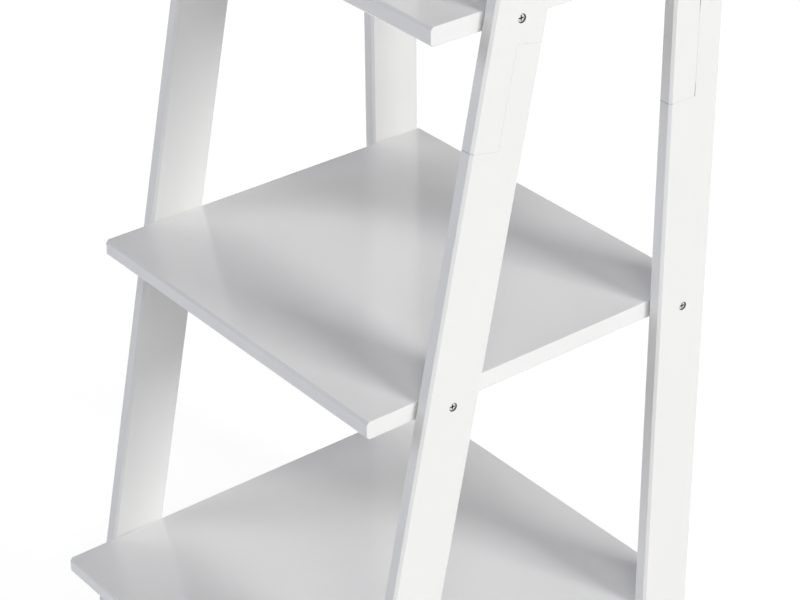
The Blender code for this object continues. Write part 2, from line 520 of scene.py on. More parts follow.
class Fixing:
    """A screw or dowel of the frame: where it sits, its size, and the bore it needs."""

    def __init__(self, node):
        self.is_dowel = node in LAP_DOWELS
        side, row = self.post_of(node)
        if node in SHELF_SCREWS:
            outward = (SIDES[side], 0, 0)
        else:
            outward = Matrix.Rotation(-LEANS[row], 3, "X") @ Vector((0, 1, 0))
        self.placement, self.radius, self.length = seat_of(node, outward)

    @staticmethod
    def post_of(node):
        """The side and row of the post that a fixing is in, from its name."""
        words = node.split("_")
        side = next(word for word in words if word in SIDES)
        row = next(word for word in words if word in LEANS)
        return side, row

    def bore_profile(self, shank_radius):
        """(radius, height) points of its bore, from the top of its axis down to the bottom."""
        clear = self.radius + SEAT_GAP
        bottom = -self.length - SEAT_GAP
        if self.is_dowel:
            return ((0, SEAT_GAP), (clear, SEAT_GAP), (clear, bottom), (0, bottom))
        shank = shank_radius + SEAT_GAP
        return (
            (0, BORE_MOUTH),
            (clear, BORE_MOUTH),
            (clear, -HEAD_SINK - HEAD_RIM),
            (shank, -HEAD_SINK - HEAD_DEPTH),
            (shank, bottom),
            (0, bottom),
        )


def add_ring(form, radius, height):
    """Points round the Z axis."""
    turns = [math.tau * step / TURNED_STEPS for step in range(TURNED_STEPS)]
    return [form.verts.new((radius * math.cos(turn), radius * math.sin(turn), height)) for turn in turns]


def skin_rings(form, rings):
    """Faces between each ring and the next."""
    for upper, lower in zip(rings, rings[1:]):
        for at in range(len(upper)):
            form.faces.new((upper[at - 1], upper[at], lower[at], lower[at - 1]))


def turned_mesh(name, profile):
    """A solid turned about Z from (radius, height) points that begin and end on the axis."""
    form = bmesh.new()
    rings = [add_ring(form, radius, height) for radius, height in profile[1:-1]]
    skin_rings(form, rings)
    form.faces.new(rings[0])
    form.faces.new(rings[-1])
    return close_form(name, form)


def thread_row(form, row, neck_end, run, sizes):
    """One row of points along a thread, which climbs by one pitch in a turn to meet a later row's start.

    Rows past either end of the thread lie on its end ring, where their doubled points are merged.
    """
    crest = row % THREAD_ROWS == 0
    wanted = sizes.thread_radius if crest else sizes.core_radius
    points = []
    for step in range(TURNED_STEPS + 1):
        turn = step / TURNED_STEPS
        along = (row / THREAD_ROWS + turn - 1) * sizes.thread_pitch
        along = min(max(along, 0.0), run)
        begun = min(along / sizes.thread_pitch, 1.0)
        tapered = TIP_RADIUS + (run - along) / TIP_LENGTH * (sizes.thread_radius - TIP_RADIUS)
        radius = min(sizes.neck_radius + (wanted - sizes.neck_radius) * begun, tapered)
        angle = turn * math.tau
        place = (radius * math.cos(angle), radius * math.sin(angle), -neck_end - along)
        points.append(form.verts.new(place))
    return points


def blank_screw_mesh(name, head_radius, length, sizes):
    """A countersunk screw about Z: a head sunk a little under height 0, a neck, a thread and a point."""
    form = bmesh.new()
    head = (
        (head_radius - HEAD_EDGE, -HEAD_SINK),
        (head_radius, -HEAD_SINK - HEAD_EDGE),
        (head_radius, -HEAD_SINK - HEAD_RIM),
        (sizes.neck_radius, -HEAD_SINK - HEAD_DEPTH),
        (sizes.neck_radius, -sizes.neck_length),
    )
    rings = [add_ring(form, radius, height) for radius, height in head]
    skin_rings(form, rings)
    form.faces.new(rings[0])
    run = length - sizes.neck_length
    row_count = THREAD_ROWS * (RUNOUT_TURNS + math.ceil(run / sizes.thread_pitch))
    rows = [thread_row(form, row, sizes.neck_length, run, sizes) for row in range(row_count)]
    for upper, lower in zip(rows, rows[1:]):
        for step in range(TURNED_STEPS):
            form.faces.new((upper[step], upper[step + 1], lower[step + 1], lower[step]))
    form.faces.new(rows[-1][:TURNED_STEPS])
    return close_form(name, form)


def recess_mesh(name, sizes):
    """The tapered cross that a driver fits, as a cutter."""
    reach, slot = sizes.recess_reach, sizes.recess_slot / 2
    arm = ((reach, -slot), (reach, slot), (slot, slot))
    form = bmesh.new()
    rings = []
    for height, size in ((BORE_MOUTH, 1.0), (-HEAD_SINK, 1.0), (-HEAD_SINK - RECESS_DEPTH, RECESS_TAPER)):
        ring = []
        for quarter in range(RECESS_ARMS):
            turn = Matrix.Rotation(quarter * math.tau / RECESS_ARMS, 3, "Z")
            ring += [form.verts.new(turn @ Vector((x * size, y * size, height))) for x, y in arm]
        rings.append(ring)
    skin_rings(form, rings)
    form.faces.new(rings[0])
    form.faces.new(rings[-1])
    return close_form(name, form)


def mark_recess(mesh, reach):
    """Stores at each point how deep it lies in the cross recess of a screw's head, 0 to 1, which sets the
    painted shade there.
    """
    mask = mesh.attributes.new(RECESS_MASK, "FLOAT", "POINT")
    for vertex, depth in zip(mesh.vertices, mask.data):
        share = -(vertex.co.z + HEAD_SINK) / RECESS_DEPTH
        inside = vertex.co.xy.length < reach + SEAT_GAP and share < 1 + RECESS_TOLERANCE
        depth.value = min(share, 1.0) if inside else 0.0


def screw_mesh(name, fixing, sizes):
    """A threaded screw with the cross recess cut into its head and marked for the painted shade in it."""
    blank = add_object(name, blank_screw_mesh(name, fixing.radius - HEAD_CLEARANCE, fixing.length, sizes))
    recess = add_object(name + "_recess", recess_mesh(name + "_recess", sizes))
    cut_away(blank, recess)
    apply_modifiers(blank)
    mesh = blank.data
    bpy.data.objects.remove(blank)
    mesh.shade_smooth()
    mesh.set_sharp_from_angle(angle=SHARP_ANGLE)
    mark_recess(mesh, sizes.recess_reach)
    return mesh


def dowel_mesh(name, fixing, sizes):
    """A fluted dowel about Z, with chamfered ends, its outer end at height 0."""
    form = bmesh.new()
    steps = sizes.flutes * FLUTE_POINTS
    ends = (
        (fixing.radius - DOWEL_CHAMFER, 0.0),
        (fixing.radius, -DOWEL_CHAMFER),
        (fixing.radius, DOWEL_CHAMFER - fixing.length),
        (fixing.radius - DOWEL_CHAMFER, -fixing.length),
    )
    rings = []
    for limit, height in ends:
        ring = []
        for step in range(steps):
            groove = sizes.flute_depth if step % FLUTE_POINTS == 0 else 0.0
            radius = min(limit, fixing.radius - groove)
            angle = math.tau * step / steps
            ring.append(form.verts.new((radius * math.cos(angle), radius * math.sin(angle), height)))
        rings.append(ring)
    skin_rings(form, rings)
    form.faces.new(rings[0])
    form.faces.new(rings[-1])
    mesh = close_form(name, form)
    mesh.shade_smooth()
    mesh.set_sharp_from_angle(angle=SHARP_ANGLE)
    return mesh


# Boards


def board_mesh(name, outline, thickness, chamfered, placement, bare_and_shaded_sides=()):
    """A board cut to an outline in its own YZ plane, with its thickness along X and its length along Z.

    The sides of the outline numbered in chamfered get a bevel weight on both broad faces, and those
    numbered in the last argument are marked as unpainted; the dark colour they take there is partly
    painted shade in the lap's seams.
    """
    form = bmesh.new()
    weight = form.edges.layers.float.new("bevel_weight_edge")
    bare = form.faces.layers.float.new(BARE_AND_SHADE_MASK)
    faces = []
    for x in (-thickness / 2, thickness / 2):
        faces.append([form.verts.new(placement @ Vector((x, y, z))) for y, z in outline])
        form.faces.new(faces[-1])
    for at in range(len(outline)):
        after = (at + 1) % len(outline)
        side = form.faces.new((faces[0][at], faces[0][after], faces[1][after], faces[1][at]))
        side[bare] = 1.0 if at in bare_and_shaded_sides else 0.0
        for face in faces:
            form.edges.get((face[at], face[after]))[weight] = 1.0 if at in chamfered else 0.0
    return close_form(name, form)


def boxes_meet(one, other):
    """Whether the boxes of two CAD nodes overlap."""
    (low, high), (other_low, other_high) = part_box(one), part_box(other)
    return all(a < d and c < b for a, b, c, d in zip(low, high, other_low, other_high))


def bores_through(node, shank_radius):
    """One cutter with the bore of every screw and dowel that reaches into a CAD node's box.

    Its faces are marked as unpainted, and leave that mark in the bores, whose dark colour is partly painted
    shade.
    """
    form = bmesh.new()
    bare = form.faces.layers.float.new(BARE_AND_SHADE_MASK)
    for fixing in (Fixing(name) for name in FIXINGS if boxes_meet(node, name)):
        bore = turned_mesh("bore", fixing.bore_profile(shank_radius))
        first = len(form.verts)
        form.from_mesh(bore)
        form.verts.ensure_lookup_table()
        bmesh.ops.transform(form, matrix=fixing.placement, verts=form.verts[first:])
        bpy.data.meshes.remove(bore)
    for face in form.faces:
        face[bare] = 1.0
    return add_object(node + "_bores", close_form(node + "_bores", form))


def work_edges(board, limit, width, profile, steps):
    """Works the edges of a board that have a bevel weight, or those that are still square."""
    bevel = board.modifiers.new("work edges", "BEVEL")
    bevel.limit_method = limit
    bevel.angle_limit = SQUARE_EDGE
    bevel.width = width
    bevel.profile = profile
    bevel.segments = steps


def work_board(board, node, placement, chamfer, arris, shank_radius):
    """Works a board's chamfers and then its finer arrises, cuts its bores and marks it for the paint."""
    work_edges(board, "WEIGHT", chamfer, CHAMFER_PROFILE, CHAMFER_STEPS)
    work_edges(board, "ANGLE", arris, ARRIS_PROFILE, ARRIS_STEPS)
    cut_away(board, bores_through(node, shank_radius))
    board.data.shade_smooth()
    flat = board.modifiers.new("true flats", "WEIGHTED_NORMAL")
    flat.keep_sharp = True
    apply_modifiers(board)
    mark_board(board.data, placement)


def mark_board(mesh, placement):
    """Stores on a board its own coordinates, with its length along Z, and where its arrises are, 0 to 1."""
    to_own = placement.inverted()
    own = mesh.attributes.new(OWN_PLACE, "FLOAT_VECTOR", "POINT")
    for vertex, place in zip(mesh.vertices, own.data):
        place.vector = to_own @ vertex.co
    turn = to_own.to_3x3()
    normals = [turn @ corner.vector for corner in mesh.corner_normals]
    turned = [min((1 - max(map(abs, normal))) / CHAMFER_TURN, 1.0) for normal in normals]
    mask = mesh.attributes.new(ARRIS_MASK, "FLOAT", "CORNER")
    mask.data.foreach_set("value", turned)


# Sides of a post half's outline that are chamfered or lie along its lap, and a shelf's chamfered side
EDGE_SIDES = (0, 2)
LAP_SIDES = (3, 4, 5, 6, 7, 8)
SHELF_FRONT_SIDES = (3,)


class Post:
    """One post in its own plane, read from the frame.

    In that plane across runs over the post's width from its front edge, and along runs up its front edge
    from the floor.
    """

    def __init__(self, side, row):
        self.name = f"{side}_{row}_post"
        self.row = row
        self.lean = LEANS[row]
        lower_low, lower_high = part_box(self.name + "_lower")
        upper_low, upper_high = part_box(self.name + "_upper")
        self.middle = (lower_low.x + lower_high.x) / 2
        self.foot = lower_low.y
        self.height = upper_high.z
        tongue, gap = POST_WIDTH / 2, SEAT_GAP / 2
        self.lap_top = self.along(tongue + gap, lower_high.z) + gap
        self.lap_foot = self.along(tongue - gap, upper_low.z) - gap

    def along(self, across, height):
        """How far up the post a height is reached, at a place across its width."""
        return (height + across * math.sin(self.lean)) / math.cos(self.lean)

    def placement(self):
        """From the post's own plane to its place in the bookcase."""
        return Matrix.Translation((self.middle, self.foot, 0)) @ Matrix.Rotation(-self.lean, 4, "X")

    def half_outlines(self, boards):
        """The outlines of the lower half, with its tongue at the rear, and the upper, with it in front.

        Both start at a shoulder's outer corner, and their sides LAP_SIDES lie along the lap, whose seams
        open towards the post's edges and, on a rear post, towards the end of each tongue.
        """
        middle, way_in = POST_WIDTH / 2, boards.seam_opening
        gap, wide = boards.lap_seam / 2, boards.open_seam / 2
        beside = boards.tongue_seam / 2 if self.row == "rear" else gap
        relief = boards.tongue_relief if self.row == "rear" else 0.0
        lower = (
            (0, self.lap_foot - wide),
            (0, self.along(0, 0)),
            (POST_WIDTH, self.along(POST_WIDTH, 0)),
            (POST_WIDTH, self.lap_top - wide),
            (POST_WIDTH - way_in, self.lap_top - gap),
            (middle + beside + relief, self.lap_top - gap),
            (middle + beside, self.lap_top - boards.relief_length),
            (middle + beside, self.lap_foot - gap),
            (way_in, self.lap_foot - gap),
        )
        upper = (
            (POST_WIDTH, self.lap_top + wide),
            (POST_WIDTH, self.along(POST_WIDTH, self.height)),
            (0, self.along(0, self.height)),
            (0, self.lap_foot + wide),
            (way_in, self.lap_foot + gap),
            (middle - beside - relief, self.lap_foot + gap),
            (middle - beside, self.lap_foot + boards.relief_length),
            (middle - beside, self.lap_top + gap),
            (POST_WIDTH - way_in, self.lap_top + gap),
        )
        return {"lower": lower, "upper": upper}


def dress(piece, node, material):
    """Gives a piece its finish and lets it stand for its CAD node."""
    piece.data.materials.clear()
    piece.data.materials.append(material)
    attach(piece, BODY)
    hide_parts(node)


def make_shelf(node, boards, shank_radius):
    """A shelf board with a chamfered front, flush at the back with the rear posts."""
    low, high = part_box(node)
    middle, size = (low + high) / 2, high - low
    outline = ((0, -size.x / 2), (size.y, -size.x / 2), (size.y, size.x / 2), (0, size.x / 2))
    placement = Matrix.Translation((middle.x, low.y, middle.z)) @ Matrix.Rotation(math.pi / 2, 4, "Y")
    name = "painted_" + node
    shelf = add_object(name, board_mesh(name, outline, size.z, SHELF_FRONT_SIDES, placement))
    work_board(shelf, node, placement, boards.shelf_front, boards.shelf_arris, shank_radius)
    return shelf


def make_post_halves(post, boards, shank_radius):
    """The two halves of a post, with chamfered edges and finer arrises at the saw cuts and the lap."""
    placement = post.placement()
    halves = {}
    for half, outline in post.half_outlines(boards).items():
        node = f"{post.name}_{half}"
        name = "painted_" + node
        mesh = board_mesh(name, outline, POST_THICKNESS, EDGE_SIDES, placement, LAP_SIDES)
        halves[node] = add_object(name, mesh)
        work_board(halves[node], node, placement, boards.post_edge, boards.post_arris, shank_radius)
    return halves


# Node trees


def add_node(tree, kind, inputs=(), **options):
    """Adds a node, sets its options, and links or sets its inputs by name or number."""
    node = tree.nodes.new(kind)
    for option, value in options.items():
        setattr(node, option, value)
    for socket, value in dict(inputs).items():
        if isinstance(value, bpy.types.NodeSocket):
            tree.links.new(value, node.inputs[socket])
        else:
            node.inputs[socket].default_value = value
    return node


# Numbers of the sockets that a Mix node uses for colours
MIX_FACTOR, MIX_FIRST, MIX_SECOND, MIX_RESULT = 0, 6, 7, 2


def mix_colours(tree, factor, first, second, blend="MIX"):
    """The colour output of a Mix node."""
    inputs = {MIX_FACTOR: factor, MIX_FIRST: first, MIX_SECOND: second}
    return add_node(tree, "ShaderNodeMix", inputs, data_type="RGBA", blend_type=blend).outputs[MIX_RESULT]


def calculate(tree, operation, first, second):
    """The output of a Math node."""
    return add_node(tree, "ShaderNodeMath", {0: first, 1: second}, operation=operation).outputs["Value"]


def spread(tree, value, low, high):
    """Maps a value that runs from 0 to 1 onto low to high."""
    inputs = {"Value": value, "To Min": low, "To Max": high}
    return add_node(tree, "ShaderNodeMapRange", inputs).outputs["Result"]


SOCKETS = {"colour": "NodeSocketColor", "value": "NodeSocketFloat", "vector": "NodeSocketVector"}

# How fine the noise of each effect is, and the pace of gloss as a share of the orange peel's
DRIFT_DETAIL, PEEL_DETAIL, GLOSS_DETAIL, STREAK_DETAIL = 3.0, 2.0, 4.0, 4.0
STREAK_CRISPNESS = 0.55
GLOSS_PACE = 0.06


def new_group(name, inputs, outputs):
    """An empty shader node group with named sockets, and its input and output nodes."""
    group = bpy.data.node_groups.new(name, "ShaderNodeTree")
    for socket, kind in inputs.items():
        group.interface.new_socket(socket, in_out="INPUT", socket_type=SOCKETS[kind])
    for socket, kind in outputs.items():
        group.interface.new_socket(socket, in_out="OUTPUT", socket_type=SOCKETS[kind])
    return group, group.nodes.new("NodeGroupInput").outputs, group.nodes.new("NodeGroupOutput").inputs


def tone_drift_group():
    """Slow drift of a colour's tone over a surface, as coats of paint and pieces of timber have."""
    inputs = {"Vector": "vector", "Colour": "colour", "Size": "value", "Depth": "value"}
    group, given, out = new_group("tone drift", inputs, {"Colour": "colour"})
    scale = calculate(group, "DIVIDE", 1.0, given["Size"])
    inputs = {"Vector": given["Vector"], "Scale": scale, "Detail": DRIFT_DETAIL}
    noise = add_node(group, "ShaderNodeTexNoise", inputs)
    drift = spread(group, noise.outputs["Fac"], -1.0, 1.0)
    brightness = calculate(group, "MULTIPLY_ADD", drift, given["Depth"])
    brightness.node.inputs[2].default_value = 1.0
    inputs = {0: given["Colour"], "Scale": brightness}
    tinted = add_node(group, "ShaderNodeVectorMath", inputs, operation="SCALE")
    group.links.new(tinted.outputs["Vector"], out["Colour"])
    return group


def sprayed_film_group():
    """Fine orange peel of a sprayed or rolled coat: a height for bump and a mask for gloss."""
    inputs = {"Vector": "vector", "Grain": "value"}
    group, given, out = new_group("sprayed film", inputs, {"Height": "value", "Gloss": "value"})
    scale = calculate(group, "DIVIDE", 1.0, given["Grain"])
    inputs = {"Vector": given["Vector"], "Scale": scale, "Detail": PEEL_DETAIL}
    peel = add_node(group, "ShaderNodeTexNoise", inputs)
    slow_scale = calculate(group, "MULTIPLY", scale, GLOSS_PACE)
    inputs = {"Vector": given["Vector"], "Scale": slow_scale, "Detail": GLOSS_DETAIL}
    slow = add_node(group, "ShaderNodeTexNoise", inputs)
    group.links.new(peel.outputs["Fac"], out["Height"])
    group.links.new(slow.outputs["Fac"], out["Gloss"])
    return group


def drawn_streaks_group():
    """Long streaks along Z: brush marks, wood grain or the marks of drawn wire."""
    inputs = {"Vector": "vector", "Width": "value", "Stretch": "value"}
    group, given, out = new_group("drawn streaks", inputs, {"Streaks": "value"})
    across = calculate(group, "DIVIDE", 1.0, given["Width"])
    along = calculate(group, "DIVIDE", across, given["Stretch"])
    scale = add_node(group, "ShaderNodeCombineXYZ", {"X": across, "Y": across, "Z": along})
    inputs = {0: given["Vector"], 1: scale.outputs["Vector"]}
    spot = add_node(group, "ShaderNodeVectorMath", inputs, operation="MULTIPLY")
    inputs = {
        "Vector": spot.outputs["Vector"],
        "Scale": 1.0,
        "Detail": STREAK_DETAIL,
        "Roughness": STREAK_CRISPNESS,
    }
    noise = add_node(group, "ShaderNodeTexNoise", inputs)
    group.links.new(noise.outputs["Fac"], out["Streaks"])
    return group


def worn_coat_group():
    """A coat that gives way to what lies under it, as far as a mask and an amount say: to thin paint on
    arrises, and to a dark colour that paints the shade in bores, laps and screw recesses.
    """
    inputs = {"Colour": "colour", "Under": "colour", "Mask": "value", "Amount": "value"}
    group, given, out = new_group("worn coat", inputs, {"Colour": "colour", "Worn": "value"})
    given_way = calculate(group, "MULTIPLY", given["Mask"], given["Amount"])
    given_way = calculate(group, "MINIMUM", given_way, 1.0)
    group.links.new(mix_colours(group, given_way, given["Colour"], given["Under"]), out["Colour"])
    group.links.new(given_way, out["Worn"])
    return group


def place_group(tree, maker, inputs):
    """Puts a node group into a tree, and builds it the first time."""
    name = maker.__name__.removesuffix("_group").replace("_", " ")
    group = bpy.data.node_groups.get(name) or maker()
    return add_node(tree, "ShaderNodeGroup", inputs, node_tree=group).outputs


def new_material(name):
    """An empty material with a Principled shader, and its tree and shader."""
    material = bpy.data.materials.new(name)
    material.use_nodes = True
    tree = material.node_tree
    return material, tree, tree.nodes["Principled BSDF"]


def stored_mask(tree, name):
    """A mask that the meshes carry."""
    return add_node(tree, "ShaderNodeAttribute", attribute_name=name).outputs["Fac"]


def own_vector(tree):
    """A board's own coordinates, with its length along Z."""
    return add_node(tree, "ShaderNodeAttribute", attribute_name=OWN_PLACE).outputs["Vector"]


def object_vector(tree):
    """A screw's or a dowel's own coordinates, with its axis along Z."""
    return add_node(tree, "ShaderNodeTexCoord").outputs["Object"]


def moved_apart(tree, vector):
    """Coordinates moved to a place of each piece's own, so that no two pieces are marked alike."""
    apart = add_node(tree, "ShaderNodeObjectInfo").outputs["Random"]
    return add_node(tree, "ShaderNodeVectorMath", {0: vector, 1: apart}, operation="ADD").outputs["Vector"]


def bump(tree, height, distance, under=None):
    """A bump of a real height in metres."""
    inputs = {"Height": height, "Distance": distance, "Strength": 1.0}
    if under is not None:
        inputs["Normal"] = under
    return add_node(tree, "ShaderNodeBump", inputs).outputs["Normal"]


# Finishes

# Sizes and shares in the paint
PAINT_DRIFT_SIZE, PAINT_DRIFT_DEPTH = 0.11, 0.012
BRUSH_WIDTH, BRUSH_STRETCH, BRUSH_TINT = 0.0022, 40.0, 0.03
SHELF_BRUSH_HEIGHT, POST_BRUSH_HEIGHT = 0.000006, 0.00002
PEEL_GRAIN, PEEL_HEIGHT = 0.003, 0.000006
# How far arrises take the thin paint, and bores and laps the dark unpainted board that also paints their
# shade
ARRIS_WEAR, BARE_AND_SHADE_AMOUNT = 0.1, 1.0
GLOSS_DRIFT, ARRIS_DULLNESS, BARE_ROUGHNESS = 0.07, 0.08, 0.8
PAINT_IOR = 1.5


def paint_material(name, colour, roughness, finish, brush_height):
    """Satin white paint with orange peel, roller or brush marks along the board, thin arrises, and in bores
    and laps a dark colour of unpainted board that is partly painted shade.
    """
    material, tree, shader = new_material(name)
    spot = moved_apart(tree, own_vector(tree))
    tone = place_group(
        tree,
        tone_drift_group,
        {"Vector": spot, "Colour": (*colour, 1.0), "Size": PAINT_DRIFT_SIZE, "Depth": PAINT_DRIFT_DEPTH},
    )
    marks = {"Vector": spot, "Width": BRUSH_WIDTH, "Stretch": BRUSH_STRETCH}
    streaks = place_group(tree, drawn_streaks_group, marks)["Streaks"]
    film = place_group(tree, sprayed_film_group, {"Vector": spot, "Grain": PEEL_GRAIN})
    marked = mix_colours(tree, BRUSH_TINT, tone["Colour"], streaks, blend="SOFT_LIGHT")
    arris = place_group(
        tree,
        worn_coat_group,
        {
            "Colour": marked,
            "Under": (*finish.thin_paint, 1.0),
            "Mask": stored_mask(tree, ARRIS_MASK),
            "Amount": ARRIS_WEAR,
        },
    )
    # Unpainted board in bores and laps, darkened far past raw board as painted shade in those gaps
    bare = place_group(
        tree,
        worn_coat_group,
        {
            "Colour": arris["Colour"],
            "Under": (*finish.bare_board, 1.0),
            "Mask": stored_mask(tree, BARE_AND_SHADE_MASK),
            "Amount": BARE_AND_SHADE_AMOUNT,
        },
    )
    gloss = spread(tree, film["Gloss"], roughness - GLOSS_DRIFT, roughness + GLOSS_DRIFT)
    gloss = calculate(tree, "ADD", gloss, calculate(tree, "MULTIPLY", arris["Worn"], ARRIS_DULLNESS))
    gloss = calculate(tree, "MAXIMUM", gloss, calculate(tree, "MULTIPLY", bare["Worn"], BARE_ROUGHNESS))
    peel = bump(tree, film["Height"], PEEL_HEIGHT)
    tree.links.new(bare["Colour"], shader.inputs["Base Color"])
    tree.links.new(gloss, shader.inputs["Roughness"])
    tree.links.new(bump(tree, streaks, brush_height, peel), shader.inputs["Normal"])
    shader.inputs["IOR"].default_value = PAINT_IOR
    return material


# Sizes and shares in the zinc
ZINC_DRIFT_SIZE, ZINC_DRIFT_DEPTH = 0.0012, 0.22
WIRE_WIDTH, WIRE_STRETCH, WIRE_HEIGHT = 0.00025, 12.0, 0.00002
ZINC_ROUGHNESS = (0.22, 0.5)
# Near-black painted shade in the cross recess, full from a third of its depth down
RECESS_SHADE_COLOUR, RECESS_SHADE_AMOUNT = (0.03, 0.03, 0.033, 1.0), 3.0


def zinc_material(finish):
    """Bright zinc plate, drawn along the screw, with painted shade in the cross recess."""
    material, tree, shader = new_material("zinc_plate")
    spot = moved_apart(tree, object_vector(tree))
    tone = place_group(
        tree,
        tone_drift_group,
        {
            "Vector": spot,
            "Colour": (*finish.zinc_colour, 1.0),
            "Size": ZINC_DRIFT_SIZE,
            "Depth": ZINC_DRIFT_DEPTH,
        },
    )
    marks = {"Vector": spot, "Width": WIRE_WIDTH, "Stretch": WIRE_STRETCH}
    streaks = place_group(tree, drawn_streaks_group, marks)["Streaks"]
    # Painted shade in the cross recess, darker with its depth
    recess_shade = place_group(
        tree,
        worn_coat_group,
        {
            "Colour": tone["Colour"],
            "Under": RECESS_SHADE_COLOUR,
            "Mask": stored_mask(tree, RECESS_MASK),
            "Amount": RECESS_SHADE_AMOUNT,
        },
    )
    tree.links.new(recess_shade["Colour"], shader.inputs["Base Color"])
    tree.links.new(spread(tree, streaks, *ZINC_ROUGHNESS), shader.inputs["Roughness"])
    tree.links.new(bump(tree, streaks, WIRE_HEIGHT), shader.inputs["Normal"])
    shader.inputs["Metallic"].default_value = 1.0
    return material


# Sizes and shares in the beech
BEECH_DRIFT_SIZE, BEECH_DRIFT_DEPTH = 0.006, 0.12
GRAIN_WIDTH, GRAIN_STRETCH, GRAIN_HEIGHT = 0.0007, 18.0, 0.00006
GRAIN_COLOUR, GRAIN_SHARE = (0.34, 0.20, 0.11, 1.0), (-0.9, 1.1)
BEECH_ROUGHNESS = (0.55, 0.8)


def beech_material(finish):
    """Bare beech with its grain and short dark flecks along the dowel."""
    material, tree, shader = new_material("bare_beech")
    spot = moved_apart(tree, object_vector(tree))
    tone = place_group(
        tree,
        tone_drift_group,
        {
            "Vector": spot,
            "Colour": (*finish.beech_colour, 1.0),
            "Size": BEECH_DRIFT_SIZE,
            "Depth": BEECH_DRIFT_DEPTH,
        },
    )
    marks = {"Vector": spot, "Width": GRAIN_WIDTH, "Stretch": GRAIN_STRETCH}
    grain = place_group(tree, drawn_streaks_group, marks)["Streaks"]
    fleck = spread(tree, grain, *GRAIN_SHARE)
    tree.links.new(mix_colours(tree, fleck, tone["Colour"], GRAIN_COLOUR), shader.inputs["Base Color"])
    tree.links.new(spread(tree, grain, *BEECH_ROUGHNESS), shader.inputs["Roughness"])
    tree.links.new(bump(tree, grain, GRAIN_HEIGHT), shader.inputs["Normal"])
    return material


# Stage

# Size and finish of the floor
FLOOR_REACH = 30.0
FLOOR_DRIFT_SIZE, FLOOR_DRIFT_DEPTH = 0.9, 0.01
FLOOR_ROUGHNESS, FLOOR_SPECULAR = 0.9, 0.1

# How white the floor shows, and how far from the bookcase, in metres, its shadow fades out
FLOOR_WHITE = 1.2
FLOOR_GLOW_SHARE = 0.75
FLOOR_FADE = (1.0, 2.2)
WHITE = (1.0, 1.0, 1.0, 1.0)

# How high the white behind the bookcase and the walls reach, as the sine of their elevation
COVE_FADE = (0.18, 0.30)
WALL_FADE = (0.50, 0.70)

# Lamps stand round the middle of the view; turn runs from the right towards the back, in degrees
Lamp = namedtuple("Lamp", "turn rise size colour")
AIM = Vector((0.0, 0.0, 0.5))
LAMP_DISTANCE = 40.0
LARGE, WIDE, MIDDLING = (17.4, 17.4), (17.4, 10.6), (12.0, 13.4)
PLAIN, WARM, COOL = (1.0, 1.0, 1.0), (1.0, 0.995, 0.98), (0.935, 0.97, 1.10)
LAMPS = {
    "key": Lamp(turn=13.0, rise=27.0, size=MIDDLING, colour=WARM),
    "fill": Lamp(turn=240.0, rise=24.0, size=LARGE, colour=COOL),
    "high": Lamp(turn=330.0, rise=45.0, size=LARGE, colour=PLAIN),
    "left": Lamp(turn=180.0, rise=24.0, size=LARGE, colour=PLAIN),
    "back": Lamp(turn=90.0, rise=9.0, size=WIDE, colour=PLAIN),
}

CAMERA_PLACE = Vector((1.616, -1.216, 1.656))
CAMERA_TURN = math.radians(51.04)
CAMERA_DROP = math.radians(30.43)
CAMERA_SHIFT = -0.05


def fade(tree, value, ends):
    """A smooth fall from 1 to 0 between two values."""
    inputs = {"Value": value, "From Min": ends[0], "From Max": ends[1], "To Min": 1.0, "To Max": 0.0}
    return add_node(tree, "ShaderNodeMapRange", inputs, interpolation_type="SMOOTHSTEP").outputs["Result"]


def rays_that_show(tree):
    """1 for rays that show a surface, straight or in a reflection, and 0 for those that only light it."""
    path = add_node(tree, "ShaderNodeLightPath").outputs
    shown = calculate(tree, "MAXIMUM", path["Is Camera Ray"], path["Is Glossy Ray"])
    return calculate(tree, "MAXIMUM", shown, path["Is Transmission Ray"])


def floor_material(stage):
    """A pale matt floor that shows white to the eye and in reflections, and still takes a shadow."""
    material, tree, shader = new_material("pale_floor")
    spot = add_node(tree, "ShaderNodeTexCoord").outputs["Object"]
    tone = place_group(
        tree,
        tone_drift_group,
        {
            "Vector": spot,
            "Colour": (*stage.floor_colour, 1.0),
            "Size": FLOOR_DRIFT_SIZE,
            "Depth": FLOOR_DRIFT_DEPTH,
        },
    )
    tree.links.new(tone["Colour"], shader.inputs["Base Color"])
    shader.inputs["Roughness"].default_value = FLOOR_ROUGHNESS
    shader.inputs["Specular IOR Level"].default_value = FLOOR_SPECULAR
    glow = add_node(tree, "ShaderNodeEmission", {"Color": WHITE, "Strength": FLOOR_WHITE})
    distance = add_node(tree, "ShaderNodeVectorMath", {0: spot}, operation="LENGTH").outputs["Value"]
    share = spread(tree, fade(tree, distance, FLOOR_FADE), 1 / FLOOR_WHITE, FLOOR_GLOW_SHARE)
    share = calculate(tree, "MULTIPLY", rays_that_show(tree), share)
    mixed = add_node(
        tree, "ShaderNodeMixShader", {0: share, 1: shader.outputs["BSDF"], 2: glow.outputs["Emission"]}
    )
    tree.links.new(mixed.outputs["Shader"], tree.nodes["Material Output"].inputs["Surface"])
    return material


def make_floor(stage):
    """A wide floor under the bookcase."""
    form = bmesh.new()
    corners = ((-1, -1), (1, -1), (1, 1), (-1, 1))
    form.faces.new([form.verts.new((x * FLOOR_REACH, y * FLOOR_REACH, 0.0)) for x, y in corners])
    floor = add_object("floor", close_form("floor", form))
    floor.data.materials.append(floor_material(stage))


